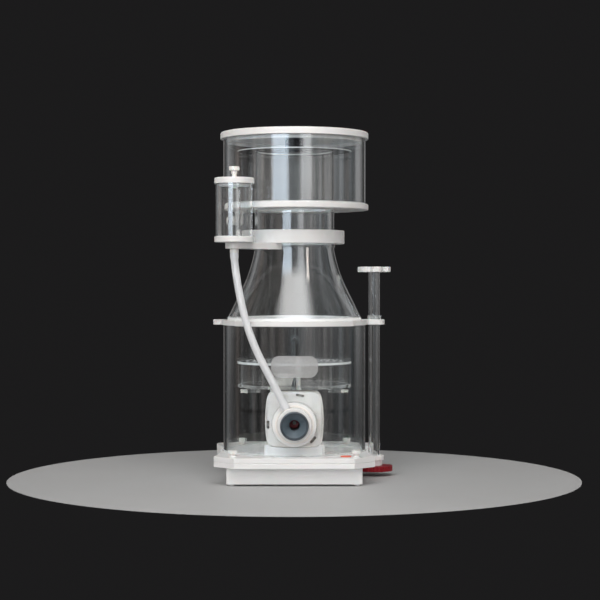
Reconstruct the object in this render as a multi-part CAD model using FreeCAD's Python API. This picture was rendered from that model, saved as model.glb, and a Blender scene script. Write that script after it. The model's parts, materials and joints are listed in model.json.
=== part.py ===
import FreeCAD, Part
import math
import os

# A free-standing protein skimmer for an aquarium sump, in millimetres, +Z up.
# The origin is on the floor, on the axis of the body tube. The pump's intake and the air
# silencer face -Y, which is the front, and the level control stands at +X.

Vector = FreeCAD.Vector
UP = Vector(0, 0, 1)
BACK = Vector(0, 1, 0)
NEAR = 1e-3           # how close two numbers are when they count as equal
SLACK = 1.0           # how far a cutting tool runs past the face that it cuts

# ---- driving dimensions ---------------------------------------------------------------

# Base box and base plates, of white PVC sheet
sheet = 9.0
foot_radius = 5.0
foot_height = 3.0
box_half_width = 115.0
box_half_depth = 132.0
box_wall = 6.0
box_top = 31.0
plate_top = box_top + 2 * sheet
plate_seam = box_top + sheet
plate_front_half = 101.0
plate_rear_half = 107.0
plate_front = -155.0
plate_rear = 152.0
plate_side = 141.0
plate_chamfer = 36.0
plate_waist = 128.0
plate_corner_round = 5.0
plate_edge_round = 1.0
outlet_left = 30.0
outlet_right = 105.0
outlet_front = -48.0
outlet_back = 44.0
outlet_round = 28.0
seal_groove_inner = 116.0
seal_groove_outer = 120.0
seal_height = 2.4

# Thumb screws that hold the body on the base
thumb_front = (104.0, -127.0)
thumb_rear = (100.0, 100.0)
thumb_head_radius = 7.8
thumb_shoulder_radius = 4.5
thumb_shank_radius = 3.0
thumb_shoulder_height = 5.0
thumb_head_height = 6.0
thumb_collar_radius = 6.5
thumb_collar_height = 2.0
running_gap = 0.05

# Body tube, its top flange and the cone
body_radius = 125.0
body_bore = 120.0
flange_bottom = 268.5
flange_top = flange_bottom + sheet
flange_radius = 144.0
flange_half_chord = 102.0
flange_opening = 108.0
cone_wall = 4.0
cone_foot_radius = 117.0
cone_brim_top = 281.0
cone_bend_radius = 93.5
cone_bend_height = 330.0
cone_mid_radius = 78.6
cone_mid_height = 366.0
cone_top_radius = 69.5
cone_top = 410.5
cone_lip_height = 6.5
cone_lip_radius = 71.5

# Locking collar and collection cup
collar_bottom = cone_top
collar_top = 434.0
collar_radius = 88.0
neck_radius = 70.0
neck_bore = 66.0
neck_bottom = 411.0
neck_top = 572.0
neck_lip_radius = 99.5
neck_lip_thickness = 2.0
ring_seal_bottom = 419.0
ring_seal_height = 4.0
ring_seal_depth = 4.0
cup_floor_bottom = 470.0
cup_floor_top = 480.0
cup_floor_radius = 130.0
cup_wall_top = 594.0
lid_top = 606.0
lid_radius = 130.0
lid_spigot_depth = 6.0
lid_spigot_wall = 5.0
filter_width = 32.0
filter_front = -38.0
filter_depth = 20.0
filter_height = 24.0
drain_radius = 8.0
drain_bore = 5.5
drain_x = -92.0
drain_y = 54.0
drain_drop = 16.0
drain_elbow_radius = 9.0
drain_elbow_reach = 14.0
drain_reach = 38.0

# Air silencer on its arm, and the hose to the intake
silencer_x = -101.0
silencer_y = -133.0
silencer_base_radius = 33.5
silencer_base_top = 420.0
silencer_tube_radius = 31.0
silencer_tube_bore = 28.0
silencer_tube_top = 509.0
silencer_cap_top = 519.0
silencer_core_radius = 11.0
silencer_core_bore = 8.0
silencer_core_top = 498.0
air_screw_shank = 4.0
air_screw_tip = 501.0
air_screw_collar_radius = 4.9
air_screw_collar_bottom = 526.0
air_screw_head_bottom = 531.0
air_screw_head_top = 538.0
air_screw_head_radius = 8.75
arm_thickness = 10.5
arm_half_width = 25.0
arm_tip_radius = 15.0
fitting_radius = 7.5
fitting_bottom = 393.0
hose_radius = 6.25
hose_bore = 4.25
spigot_tip = 3.1
spigot_ridge = 3.8
spigot_shank = 3.4
hose_plug_length = 14.0

# Pump: its axis lies along Y
pump_z = 103.0
pump_half_bottom = 45.0
pump_half_middle = 49.0
pump_half_top = 44.5
pump_low = 64.5
pump_high = 155.5
pump_crown = 158.2
pump_belly = 62.0
pump_corner = 14.0
cover_front = -106.0
cover_back = -98.0
housing_back = -42.0
chamber_radius = 34.0
chamber_back = -46.0
motor_back = 40.0
motor_radius = 36.0
motor_flange_radius = 44.0
motor_flange_back = -36.0
well_radius = 14.5
well_back = 22.0
shaft_radius = 3.0
hub_radius = 33.0
hub_front = -128.0
wall_hole_radius = 34.0
saddle_radius = 37.5
slot_places = ((79.0, 49.0), (182.0, 44.0), (-41.0, 41.5))     # angle and distance from the axis
slot_length = 14.0
slot_width = 4.4
slot_depth = 6.0
shoe_half_width = 50.5
shoe_top = 62.0
shoe_back = -50.0
outlet_x = -23.0
outlet_y = -66.0
outlet_radius = 18.0
outlet_bore = 14.0
outlet_flare = 23.0
outlet_bottom = 150.0
outlet_top = 185.0

# Venturi collar and intake nozzle, outside the body tube
venturi_radius = 29.0
venturi_front = -148.0
nozzle_radius = 24.0
nozzle_front = -158.0
nozzle_mouth = 21.0
nozzle_spigot = 20.0
nozzle_throat_outer = 12.0
nozzle_bore = 9.0
funnel_depth = 18.0
barb_angle = 27.0     # degrees left of straight up
barb_root = 31.0
barb_y = -138.0
air_passage = 2.0

# Needle wheel
needle_disc_radius = 30.0
needle_disc_thickness = 3.0
needle_front = -90.0
needle_back = -50.0
needle_radius = 1.2
magnet_radius = 13.0
magnet_front = -35.0
magnet_back = 14.0

# Bubble diffuser over the pump
diffuser_radius = 99.5
drum_outer = 98.5
drum_inner = 95.5
diffuser_floor_bottom = 160.0
diffuser_floor_top = 165.0
diffuser_plate_bottom = 201.0
diffuser_plate_top = 205.0
diffuser_hole_radius = 2.6
diffuser_hole_pitch = 12.0
lug_half_width = 8.5
lug_height = 6.0
rod_x = 6.7
rod_y = -60.0
rod_radius = 3.7
rod_top = 214.0

# Level control
control_x = 142.0
control_y = 30.0
control_radius = 10.0
control_bore = 7.0
control_foot_radius = 17.4
control_foot_bottom = 27.3
control_foot_top = 36.0
control_pin_radius = 6.0
control_pin_bottom = 8.7
knob_bottom = 361.5
knob_top = 371.0
knob_radius = 29.6
knob_lobes = 6
disc_radius = 32.5
disc_bottom = 8.7
disc_top = 17.7
disc_flutes = 30
disc_opening_angle = 60.0
arm_bottom = 18.0
bearing_top = 27.0
bearing_radius = 14.2
plate_notch_radius = 19.0
tab_half_width = 21.0
tab_left = -144.0
tab_right = 160.0
guide_radius = 12.5
guide_height = 7.0

# Small items
plug_x = 87.0
plug_y = -126.0
plug_radius = 9.3
plug_height = 1.5
label_half_width = 40.0
label_bottom = 182.0
label_top = 219.0
label_thickness = 0.3
cable_radius = 3.5
gland_z = 238.0
gland_radius = 9.0
cable_tail_bottom = 96.0
connector_bottom = 58.0
connector_radius = 8.5
cable_tail_y = 138.0


# ---- building blocks ------------------------------------------------------------------

def cylinder(radius, bottom, top, x=0.0, y=0.0):
    """An upright round bar."""
    return Part.makeCylinder(radius, top - bottom, Vector(x, y, bottom))


def ring(outer, inner, bottom, top, x=0.0, y=0.0):
    """An upright tube or washer."""
    hole = cylinder(inner, bottom - SLACK, top + SLACK, x, y)
    return cylinder(outer, bottom, top, x, y).cut(hole)


def bar(radius, front, back, x=0.0, z=pump_z):
    """A round bar along the pump's axis."""
    return Part.makeCylinder(radius, back - front, Vector(x, front, z), BACK)


def block(x0, x1, y0, y1, z0, z1):
    """A square-edged block between two corners."""
    return Part.makeBox(x1 - x0, y1 - y0, z1 - z0, Vector(x0, y0, z0))


def arc(start, middle, end):
    """A round edge through three points."""
    return Part.Arc(start, middle, end).toShape()


def line(start, end):
    """A straight edge."""
    return Part.LineSegment(start, end).toShape()


def extrude(edges, direction):
    """A solid from a closed outline."""
    return Part.Face(Part.Wire(edges)).extrude(direction)


def revolve(points, x=0.0, y=0.0):
    """A solid turned from a closed profile of (radius, height) corners about an upright axis."""
    corners = [Vector(x + radius, y, height) for radius, height in points]
    outline = Part.makePolygon(corners + corners[:1])
    return Part.Face(outline).revolve(Vector(x, y, 0), UP, 360)


def soften(shape, radius, chosen):
    """Round the chosen edges."""
    return shape.makeFillet(radius, [edge for edge in shape.Edges if chosen(edge)])


def flat_at(height):
    """Picks the edges that lie level at one height."""
    def chosen(edge):
        box = edge.BoundBox
        return abs(box.ZMin - height) < NEAR and abs(box.ZMax - height) < NEAR
    return chosen


def facing_at(depth):
    """Picks the edges that lie in one upright plane across the pump's axis."""
    def chosen(edge):
        box = edge.BoundBox
        return abs(box.YMin - depth) < NEAR and abs(box.YMax - depth) < NEAR
    return chosen


def flat_at_either(first, second):
    """Picks the edges that lie level at one of two heights."""
    def chosen(edge):
        return flat_at(first)(edge) or flat_at(second)(edge)
    return chosen


def upright(edge):
    """Picks the straight edges along Z."""
    box = edge.BoundBox
    return box.XLength < NEAR and box.YLength < NEAR


def along_pump(edge):
    """Picks the straight edges along Y."""
    box = edge.BoundBox
    return box.XLength < NEAR and box.ZLength < NEAR


def outer_rim(radius, height):
    """Picks the round edge of one radius at one height."""
    level = flat_at(height)

    def chosen(edge):
        return level(edge) and abs(edge.BoundBox.XLength - 2 * radius) < NEAR
    return chosen


def puck(radius, bottom, top, softness, x=0.0, y=0.0):
    """A short disc with both rims rounded."""
    disc = cylinder(radius, bottom, top, x, y)
    return soften(disc, softness, flat_at_either(bottom, top))


def around(count, start=0.0):
    """Evenly spaced angles in radians, from a start in degrees."""
    return [math.radians(start) + 2 * math.pi * step / count for step in range(count)]


def fluted(disc, radius, count, cutter_radius, bottom, top, x, y, start=0.0):
    """Cut upright flutes into a disc's rim."""
    cutters = []
    for angle in around(count, start):
        across = x + radius * math.cos(angle)
        along = y + radius * math.sin(angle)
        cutters.append(cylinder(cutter_radius, bottom - SLACK, top + SLACK, across, along))
    return disc.cut(Part.makeCompound(cutters))


def tube_along(points, outer, inner, start_way, end_way):
    """A bent round tube along a smooth line through points."""
    curve = Part.BSplineCurve()
    curve.interpolate(Points=points, InitialTangent=start_way, FinalTangent=end_way)
    spine = Part.Wire([curve.toShape()])

    def swept(radius):
        section = Part.Wire([Part.Circle(points[0], start_way, radius).toShape()])
        return spine.makePipeShell([section], True, True)
    return swept(outer).cut(swept(inner))


# ---- base -----------------------------------------------------------------------------

def plate_outline(bottom, thickness):
    """The base plate: long, with cut corners and sides that draw in to a waist."""
    front_side = plate_front_half + plate_chamfer
    front_shoulder = plate_front + plate_chamfer
    rear_run = plate_side - plate_rear_half
    rear_shoulder = plate_rear - rear_run
    side_end = rear_shoulder - 18.0

    def at(x, y):
        return Vector(x, y, bottom)
    right = [
        line(at(-plate_front_half, plate_front), at(plate_front_half, plate_front)),
        line(at(plate_front_half, plate_front), at(front_side, front_shoulder)),
        arc(at(front_side, front_shoulder), at(plate_waist, -10), at(plate_side, side_end)),
        line(at(plate_side, side_end), at(plate_side, rear_shoulder)),
        line(at(plate_side, rear_shoulder), at(plate_rear_half, plate_rear)),
        line(at(plate_rear_half, plate_rear), at(-plate_rear_half, plate_rear)),
    ]
    left = [
        line(at(-plate_rear_half, plate_rear), at(-plate_side, rear_shoulder)),
        line(at(-plate_side, rear_shoulder), at(-plate_side, side_end)),
        arc(at(-plate_side, side_end), at(-plate_waist, -10), at(-front_side, front_shoulder)),
        line(at(-front_side, front_shoulder), at(-plate_front_half, plate_front)),
    ]
    plate = extrude(right + left, Vector(0, 0, thickness))
    plate = soften(plate, plate_corner_round, upright)
    for side in (-1, 1):
        notch_x = side * control_x
        plate = plate.cut(
            cylinder(plate_notch_radius, bottom - SLACK, bottom + thickness + SLACK, notch_x, control_y))
    return plate


def outlet_opening(shrink, bottom, top):
    """The rounded opening through which water leaves the body for the box."""
    opening = block(outlet_left + shrink, outlet_right - shrink, outlet_front + shrink,
                    outlet_back - shrink, bottom - SLACK, top + SLACK)
    return soften(opening, outlet_round - shrink, upright)


def thumb_places():
    """The four screw positions, front pair first."""
    return [(side * x, y) for x, y in (thumb_front, thumb_rear) for side in (-1, 1)]


def thumb_holes(radius, bottom, top):
    """Clearance holes for the thumb screws."""
    return Part.makeCompound(
        [cylinder(radius, bottom - SLACK, top + SLACK, x, y) for x, y in thumb_places()])


def base_feet():
    """Four small round feet under the box."""
    inset = 9.0
    feet = []
    for x in (-box_half_width + inset, box_half_width - inset):
        for y in (-box_half_depth + inset, box_half_depth - inset):
            foot = cylinder(foot_radius, 0, foot_height, x, y)
            feet.append(soften(foot, 0.8, flat_at(0)))
    return Part.makeCompound(feet)


def outlet_box():
    """The open-topped box that stands on the feet, with the outlet slot in its right wall."""
    box = block(-box_half_width, box_half_width, -box_half_depth, box_half_depth,
                foot_height, box_top)
    box = soften(box, 3.0, upright)
    inner = block(-box_half_width + box_wall, box_half_width - box_wall,
                  -box_half_depth + box_wall, box_half_depth - box_wall,
                  foot_height + box_wall, box_top + SLACK)
    slot_margin = 0.4
    half_slot = 20.0
    slot = block(box_half_width - box_wall - SLACK, box_half_width + SLACK,
                 control_y - half_slot, control_y + half_slot,
                 disc_bottom - slot_margin, disc_top + slot_margin)
    return box.cut(inner).cut(slot)


def lower_base_plate():
    """The fixed plate on the box."""
    plate = plate_outline(box_top, sheet)
    plate = soften(plate, plate_edge_round, flat_at_either(box_top, plate_seam))
    plate = plate.cut(outlet_opening(6.0, box_top, plate_seam))
    return plate.cut(thumb_holes(thumb_shank_radius + running_gap, box_top, plate_seam))


def control_bearing():
    """The arm on the box's side that the level control's pin turns in."""
    span = control_x - box_half_width
    arm = block(box_half_width, box_half_width + span, control_y - bearing_radius,
                control_y + bearing_radius, arm_bottom, bearing_top)
    arm = arm.fuse(cylinder(bearing_radius, arm_bottom, bearing_top, control_x, control_y))
    arm = arm.removeSplitter()
    hole = cylinder(control_pin_radius + running_gap, arm_bottom - SLACK, bearing_top + SLACK,
                    control_x, control_y)
    return arm.cut(hole)


# ---- body -----------------------------------------------------------------------------

def body_flange():
    """The body's own plate, which the thumb screws hold down on the base."""
    plate = plate_outline(plate_seam, sheet)
    plate = soften(plate, plate_edge_round, flat_at_either(plate_seam, plate_top))
    groove = ring(seal_groove_outer, seal_groove_inner, plate_seam - SLACK, plate_seam + seal_height)
    plate = plate.cut(outlet_opening(0.0, plate_seam, plate_top)).cut(groove)
    return plate.cut(thumb_holes(thumb_shank_radius + running_gap, plate_seam, plate_top))


def flange_seal():
    """The flat seal between the two base plates."""
    return ring(seal_groove_outer, seal_groove_inner, plate_seam, plate_seam + seal_height)


def flange_plug():
    """A round coloured plug on the plate's front right corner."""
    plug = cylinder(plug_radius, plate_top, plate_top + plug_height, plug_x, plug_y)
    return soften(plug, 0.6, flat_at(plate_top + plug_height))


def thumb_screw(x, y):
    """A nylon thumb screw with a fluted head, a necked shoulder, a collar and a plain shank."""
    shoulder_top = plate_top + thumb_shoulder_height
    head_top = shoulder_top + thumb_head_height
    head = puck(thumb_head_radius, shoulder_top, head_top, 0.9, x, y)
    flute_circle = thumb_head_radius + 0.45
    head = fluted(head, flute_circle, 16, 0.9, shoulder_top, head_top, x, y)
    shoulder = cylinder(thumb_shoulder_radius, plate_top, shoulder_top, x, y)
    collar = cylinder(thumb_collar_radius, plate_top, plate_top + thumb_collar_height, x, y)
    collar = soften(collar, 0.6, flat_at(plate_top + thumb_collar_height))
    shank = cylinder(thumb_shank_radius, box_top + 1.0, plate_top, x, y)
    return head.fuse([shoulder, collar, shank])


def thumb_screw_front_left():
    return thumb_screw(-thumb_front[0], thumb_front[1])


def thumb_screw_front_right():
    return thumb_screw(thumb_front[0], thumb_front[1])


def thumb_screw_rear_left():
    return thumb_screw(-thumb_rear[0], thumb_rear[1])


def thumb_screw_rear_right():
    return thumb_screw(thumb_rear[0], thumb_rear[1])


def body_tube():
    """The clear body, with a hole in front for the intake and one behind for the cable."""
    tube = ring(body_radius, body_bore, plate_top, flange_bottom)
    tube = tube.cut(bar(wall_hole_radius, -body_radius - SLACK, -body_bore / 2))
    return tube.cut(bar(cable_radius, body_bore / 2, body_radius + SLACK, 0, gland_z))


def body_top_flange():
    """The white flange on the body: round in front and behind, cut back at its sides, with
    a tab on each side. The right tab guides the level control."""
    disc = cylinder(flange_radius, flange_bottom, flange_top)
    disc = disc.common(block(-flange_half_chord, flange_half_chord, -flange_radius, flange_radius,
                             flange_bottom, flange_top))
    flange = disc.fuse(cylinder(body_radius + 2.0, flange_bottom, flange_top))
    tabs = block(tab_left, tab_right, control_y - tab_half_width, control_y + tab_half_width,
                 flange_bottom, flange_top)
    tabs = soften(tabs, 12.0, upright)
    flange = flange.fuse(tabs).removeSplitter()
    flange = soften(flange, 7.0, upright)
    flange = soften(flange, plate_edge_round, flat_at_either(flange_bottom, flange_top))
    flange = flange.cut(cylinder(flange_opening, flange_bottom - SLACK, flange_top + SLACK))
    return flange.cut(cylinder(control_radius + 0.15, flange_bottom - SLACK, flange_top + SLACK,
                               control_x, control_y))


def cone():
    """The clear cone: straight at its foot, bending up into a short upright lip."""
    def corner(radius, height):
        return Vector(radius, 0, height)
    lip_bottom = cone_top - cone_lip_height
    inner_foot = cone_foot_radius - cone_wall - 1.0
    outline = [
        line(corner(inner_foot, flange_top), corner(cone_foot_radius + 0.5, flange_top)),
        line(corner(cone_foot_radius + 0.5, flange_top), corner(cone_foot_radius + 0.5, cone_brim_top)),
        line(corner(cone_foot_radius + 0.5, cone_brim_top), corner(cone_bend_radius, cone_bend_height)),
        arc(corner(cone_bend_radius, cone_bend_height), corner(cone_mid_radius, cone_mid_height),
            corner(cone_top_radius, lip_bottom)),
        line(corner(cone_top_radius, lip_bottom), corner(cone_lip_radius, lip_bottom)),
        line(corner(cone_lip_radius, lip_bottom), corner(cone_lip_radius, cone_top)),
        line(corner(cone_lip_radius, cone_top), corner(cone_top_radius - cone_wall, cone_top)),
        line(corner(cone_top_radius - cone_wall, cone_top),
             corner(cone_top_radius - cone_wall, lip_bottom)),
        arc(corner(cone_top_radius - cone_wall, lip_bottom),
            corner(cone_mid_radius - cone_wall, cone_mid_height - 1.0),
            corner(cone_bend_radius - cone_wall, cone_bend_height - 2.0)),
        line(corner(cone_bend_radius - cone_wall, cone_bend_height - 2.0),
             corner(inner_foot, cone_brim_top)),
        line(corner(inner_foot, cone_brim_top), corner(inner_foot, flange_top)),
    ]
    return Part.Face(Part.Wire(outline)).revolve(Vector(0, 0, 0), UP, 360)


def locking_collar():
    """The white collar on the cone that the cup's neck drops into."""
    collar = cylinder(collar_radius, collar_bottom, collar_top)
    collar = soften(collar, 1.5, flat_at_either(collar_bottom, collar_top))
    bore = cylinder(neck_radius + running_gap, collar_bottom - SLACK, collar_top + SLACK)
    groove = cylinder(neck_radius + ring_seal_depth, ring_seal_bottom,
                      ring_seal_bottom + ring_seal_height)
    return collar.cut(bore).cut(groove)


def collar_o_ring():
    """The seal in the collar's groove, round the cup's neck."""
    return ring(neck_radius + ring_seal_depth, neck_radius + running_gap, ring_seal_bottom,
                ring_seal_bottom + ring_seal_height)


def frosted_label():
    """A plain frosted label on the front of the body tube."""
    skin = ring(body_radius + label_thickness, body_radius, label_bottom, label_top)
    window = block(-label_half_width, label_half_width, -body_radius - SLACK, -body_bore / 2,
                   label_bottom, label_top)
    return skin.common(soften(window, 15.0, along_pump))


# ---- pump -----------------------------------------------------------------------------

def pump_section(front, back):
    """The pump's rounded, slightly barrel-shaped section between two depths."""
    def at(x, z):
        return Vector(x, front, z)
    outline = [
        arc(at(-pump_half_bottom, pump_low), at(0, pump_belly), at(pump_half_bottom, pump_low)),
        arc(at(pump_half_bottom, pump_low), at(pump_half_middle, pump_z),
            at(pump_half_top, pump_high)),
        arc(at(pump_half_top, pump_high), at(0, pump_crown), at(-pump_half_top, pump_high)),
        arc(at(-pump_half_top, pump_high), at(-pump_half_middle, pump_z),
            at(-pump_half_bottom, pump_low)),
    ]
    return soften(extrude(outline, Vector(0, back - front, 0)), pump_corner, along_pump)


def pump_cover():
    """The pump's front cover. Its hub passes through the tube's wall to the intake."""
    plate = soften(pump_section(cover_front, cover_back), 3.5, facing_at(cover_front))
    cover = plate.fuse(bar(hub_radius, hub_front, cover_front))
    cover = cover.cut(bar(nozzle_throat_outer, hub_front - SLACK, cover_back + SLACK))
    slots = []
    for angle, reach in slot_places:
        slot = block(-slot_length / 2, slot_length / 2, cover_front - SLACK, cover_front + slot_depth,
                     reach - slot_width / 2, reach + slot_width / 2)
        slot = soften(slot, slot_width / 2 - NEAR, along_pump)
        slot.rotate(Vector(0, 0, 0), BACK, 90.0 - angle)
        slot.translate(Vector(0, 0, pump_z))
        slots.append(slot)
    return cover.cut(Part.makeCompound(slots))


def pump_housing():
    """The chamber round the needle wheel, with its outlet on top."""
    housing = pump_section(cover_back, housing_back)
    housing = soften(housing, 3.5, facing_at(housing_back))
    chamber = bar(chamber_radius, cover_back - SLACK, chamber_back)
    shaft_hole = bar(shaft_radius * 3, chamber_back - SLACK, housing_back + SLACK)
    outlet = cylinder(outlet_bore, pump_z, pump_crown + SLACK, outlet_x, outlet_y)
    seat = cylinder(outlet_radius, outlet_bottom, pump_crown + SLACK, outlet_x, outlet_y)
    groove = seal_band(cover_back - SLACK)
    return housing.cut([chamber, shaft_hole, outlet, seat, groove])


def seal_band(front):
    """The square ring that the pump's seal fills, from a chosen front face."""
    back = cover_back + 2.0
    return bar(chamber_radius + 4.0, front, back).cut(bar(chamber_radius + 1.5, front, back))


def pump_seal():
    """The seal between the pump's cover and its housing."""
    return seal_band(cover_back)


def screw_places():
    """Where the four motor screws sit, as x and z."""
    circle = (motor_radius + motor_flange_radius) / 2
    return [(circle * math.cos(angle), pump_z + circle * math.sin(angle))
            for angle in around(4, 45.0)]


def pump_motor():
    """The sealed motor block with its rotor well, ribs and mounting flange."""
    motor = soften(bar(motor_radius, housing_back, motor_back), 4.0, facing_at(motor_back))
    motor = motor.fuse(bar(motor_flange_radius, housing_back, motor_flange_back))
    ribs = []
    for angle in around(12):
        rib = block(-1.5, 1.5, motor_flange_back, motor_back - 12.0,
                    motor_radius - 2.0, motor_radius + 2.5)
        rib.rotate(Vector(0, 0, 0), BACK, math.degrees(angle))
        rib.translate(Vector(0, 0, pump_z))
        ribs.append(rib)
    motor = motor.fuse(ribs)
    bush_seat = bar(18.0, housing_back - SLACK, housing_back + 5.0)
    motor = motor.cut([bar(well_radius, housing_back - SLACK, well_back), bush_seat])
    holes = [bar(2.0, housing_back - SLACK, motor_flange_back + SLACK, x, z) for x, z in screw_places()]
    return motor.cut(holes)


def motor_screws():
    """Four screws that hold the motor's flange on the housing."""
    screws = []
    for x, z in screw_places():
        head = bar(3.6, motor_flange_back, motor_flange_back + 3.0, x, z)
        socket = bar(1.6, motor_flange_back + 1.2, motor_flange_back + 4.0, x, z)
        screws.append(head.fuse(bar(2.0, housing_back, motor_flange_back, x, z)).cut(socket))
    return Part.makeCompound(screws)


def shaft_bushes():
    """The two bushes of the rotor's shaft, in the mouth and at the bottom of the well."""
    thickness = 5.0
    front = bar(18.0, housing_back, housing_back + thickness)
    rear = bar(well_radius, well_back - thickness, well_back)
    bore = bar(shaft_radius + running_gap, housing_back - SLACK, well_back - 0.5)
    return Part.makeCompound([front.cut(bore), rear.cut(bore)])


def pump_shoe():
    """The block under the pump that stands on the body's plate."""
    shoe = block(-shoe_half_width, shoe_half_width, cover_front + 1.5, shoe_back, plate_top, shoe_top + 6.0)
    shoe = soften(shoe, 6.0, upright)
    shoe = soften(shoe, 3.0, along_pump_at_top)
    return shoe.cut(pump_section(cover_front - SLACK, shoe_back + SLACK))


def along_pump_at_top(edge):
    """Picks the shoe's two upper side edges."""
    return along_pump(edge) and edge.BoundBox.ZMin > shoe_top


def outlet_socket():
    """The flared outlet that leads from the pump into the diffuser."""
    floor = diffuser_floor_top
    return revolve([
        (outlet_bore, outlet_bottom), (outlet_radius, outlet_bottom), (outlet_radius, floor),
        (outlet_flare, outlet_top), (outlet_flare - 3.0, outlet_top), (outlet_bore, floor),
    ], outlet_x, outlet_y)


def saddle_ring():
    """The white ring outside the tube's wall, round the pump's hub."""
    ring_blank = bar(saddle_radius, hub_front, -body_radius * 0.9)
    ring_blank = soften(ring_blank, 1.2, facing_at(hub_front))
    ring_blank = ring_blank.cut(bar(hub_radius, hub_front - SLACK, 0))
    return ring_blank.cut(cylinder(body_radius, plate_top, flange_bottom))


def saddle_gasket():
    """The gasket between the tube's inner wall and the pump's cover."""
    blank = bar(saddle_radius - 0.5, -body_radius, cover_front)
    blank = blank.cut(bar(hub_radius, -body_radius - SLACK, 0))
    return blank.common(cylinder(body_bore, plate_top, flange_bottom))


# ---- venturi and intake ---------------------------------------------------------------

def barb_way():
    """The direction from the pump's axis out along the air barb."""
    angle = math.radians(barb_angle)
    return Vector(-math.sin(angle), 0, math.cos(angle))


def on_barb(distance):
    """A point on the barb's axis, at a distance from the pump's axis."""
    return Vector(0, barb_y, pump_z) + barb_way() * distance


def radial_bar(radius, start, end):
    """A bar along the barb's axis."""
    return Part.makeCylinder(radius, end - start, on_barb(start), barb_way())


def venturi_collar():
    """The collar where air joins the water, with the barb for the hose."""
    collar = bar(venturi_radius, venturi_front, hub_front)
    collar = soften(collar, 1.5, facing_at(venturi_front))
    boss = radial_bar(fitting_radius, nozzle_spigot + 1.0, barb_root)
    barb = radial_bar(hose_bore, nozzle_spigot + 1.0, barb_root + hose_plug_length)
    collar = collar.fuse([boss, barb])
    collar = collar.cut(bar(nozzle_spigot, venturi_front - SLACK, hub_front + SLACK))
    return collar.cut(radial_bar(air_passage, 0, barb_root + hose_plug_length + SLACK))


def intake_nozzle():
    """The grey intake: a funnel mouth, a spigot in the collar and a throat to the pump."""
    rim = soften(bar(nozzle_radius, nozzle_front, venturi_front), 1.5, facing_at(nozzle_front))
    nozzle = rim.fuse([bar(nozzle_spigot, venturi_front, hub_front),
                       bar(nozzle_throat_outer, hub_front, cover_back)])
    funnel = Part.makeCone(nozzle_mouth, nozzle_bore, funnel_depth,
                           Vector(0, nozzle_front, pump_z), BACK)
    nozzle = nozzle.cut([funnel, bar(nozzle_bore, nozzle_front, cover_back + SLACK)])
    return nozzle.cut(radial_bar(air_passage, 0, nozzle_spigot + SLACK))


def air_hose():
    """The silicone hose from the silencer down to the venturi."""
    points = [
        Vector(silencer_x, silencer_y, fitting_bottom),
        Vector(-97.2, -134.0, 353.0),
        Vector(-82.6, -136.5, 282.0),
        Vector(-61.0, -138.0, 223.0),
        Vector(-37.0, -138.5, 176.0),
        on_barb(barb_root),
    ]
    return tube_along(points, hose_radius, hose_bore, UP * -1, barb_way() * -1)


# ---- rotor ----------------------------------------------------------------------------

def needle_wheel():
    """The needle wheel: a disc and hub with rings of thin needles."""
    disc_front = needle_back - needle_disc_thickness
    disc = bar(needle_disc_radius, disc_front, needle_back)
    hub = bar(8.0, needle_front + 4.0, disc_front)
    needles = []
    for circle, count in ((14.0, 10), (20.5, 16), (27.0, 22)):
        for angle in around(count):
            x = circle * math.cos(angle)
            z = pump_z + circle * math.sin(angle)
            needles.append(bar(needle_radius, needle_front, disc_front, x, z))
    wheel = disc.fuse([hub] + needles)
    return wheel.cut(bar(shaft_radius, needle_front - SLACK, needle_back + SLACK))


def magnet_rotor():
    """The round magnet that the motor turns."""
    magnet = bar(magnet_radius, magnet_front, magnet_back)
    return magnet.cut(bar(shaft_radius, magnet_front - SLACK, magnet_back + SLACK))


def rotor_shaft():
    """The ceramic shaft through the needle wheel and the magnet."""
    return bar(shaft_radius, needle_front + 2.0, well_back - 0.6)


# ---- diffuser -------------------------------------------------------------------------

def diffuser_floor():
    """The clear floor of the diffuser, with holes for the outlet and the rod."""
    floor = cylinder(diffuser_radius, diffuser_floor_bottom, diffuser_floor_top)
    holes = [cylinder(outlet_radius, diffuser_floor_bottom - SLACK, diffuser_floor_top + SLACK,
                      outlet_x, outlet_y), rod_hole(diffuser_floor_bottom, diffuser_floor_top)]
    return floor.cut(holes)


def rod_hole(bottom, top):
    """A hole for the diffuser's rod."""
    return cylinder(rod_radius, bottom - SLACK, top + SLACK, rod_x, rod_y)


def diffuser_drum():
    """The clear wall of the diffuser."""
    return ring(drum_outer, drum_inner, diffuser_floor_top, diffuser_plate_bottom)


def diffuser_plate():
    """The perforated bubble plate."""
    plate = cylinder(diffuser_radius, diffuser_plate_bottom, diffuser_plate_top)
    holes = [rod_hole(diffuser_plate_bottom, diffuser_plate_top)]
    clear_of_rod = rod_radius + 2.5 * diffuser_hole_radius
    for step in range(1, 8):
        circle = step * diffuser_hole_pitch
        count = int(2 * math.pi * circle / diffuser_hole_pitch)
        for angle in around(count):
            x = circle * math.cos(angle)
            y = circle * math.sin(angle)
            if math.hypot(x - rod_x, y - rod_y) > clear_of_rod:
                holes.append(cylinder(diffuser_hole_radius, diffuser_plate_bottom - SLACK,
                                      diffuser_plate_top + SLACK, x, y))
    return plate.cut(Part.makeCompound(holes))


def diffuser_lugs():
    """Four clear lugs that carry the diffuser from the body tube's wall."""
    lugs = []
    bottom = diffuser_floor_bottom - lug_height
    for angle in (45, 135, 225, 315):
        lug = block(diffuser_radius - 10.0, body_radius, -lug_half_width, lug_half_width,
                    bottom, diffuser_floor_bottom)
        lug.rotate(Vector(0, 0, 0), UP, angle)
        lugs.append(lug.common(cylinder(body_bore, bottom, diffuser_floor_bottom)))
    return Part.makeCompound(lugs)


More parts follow.
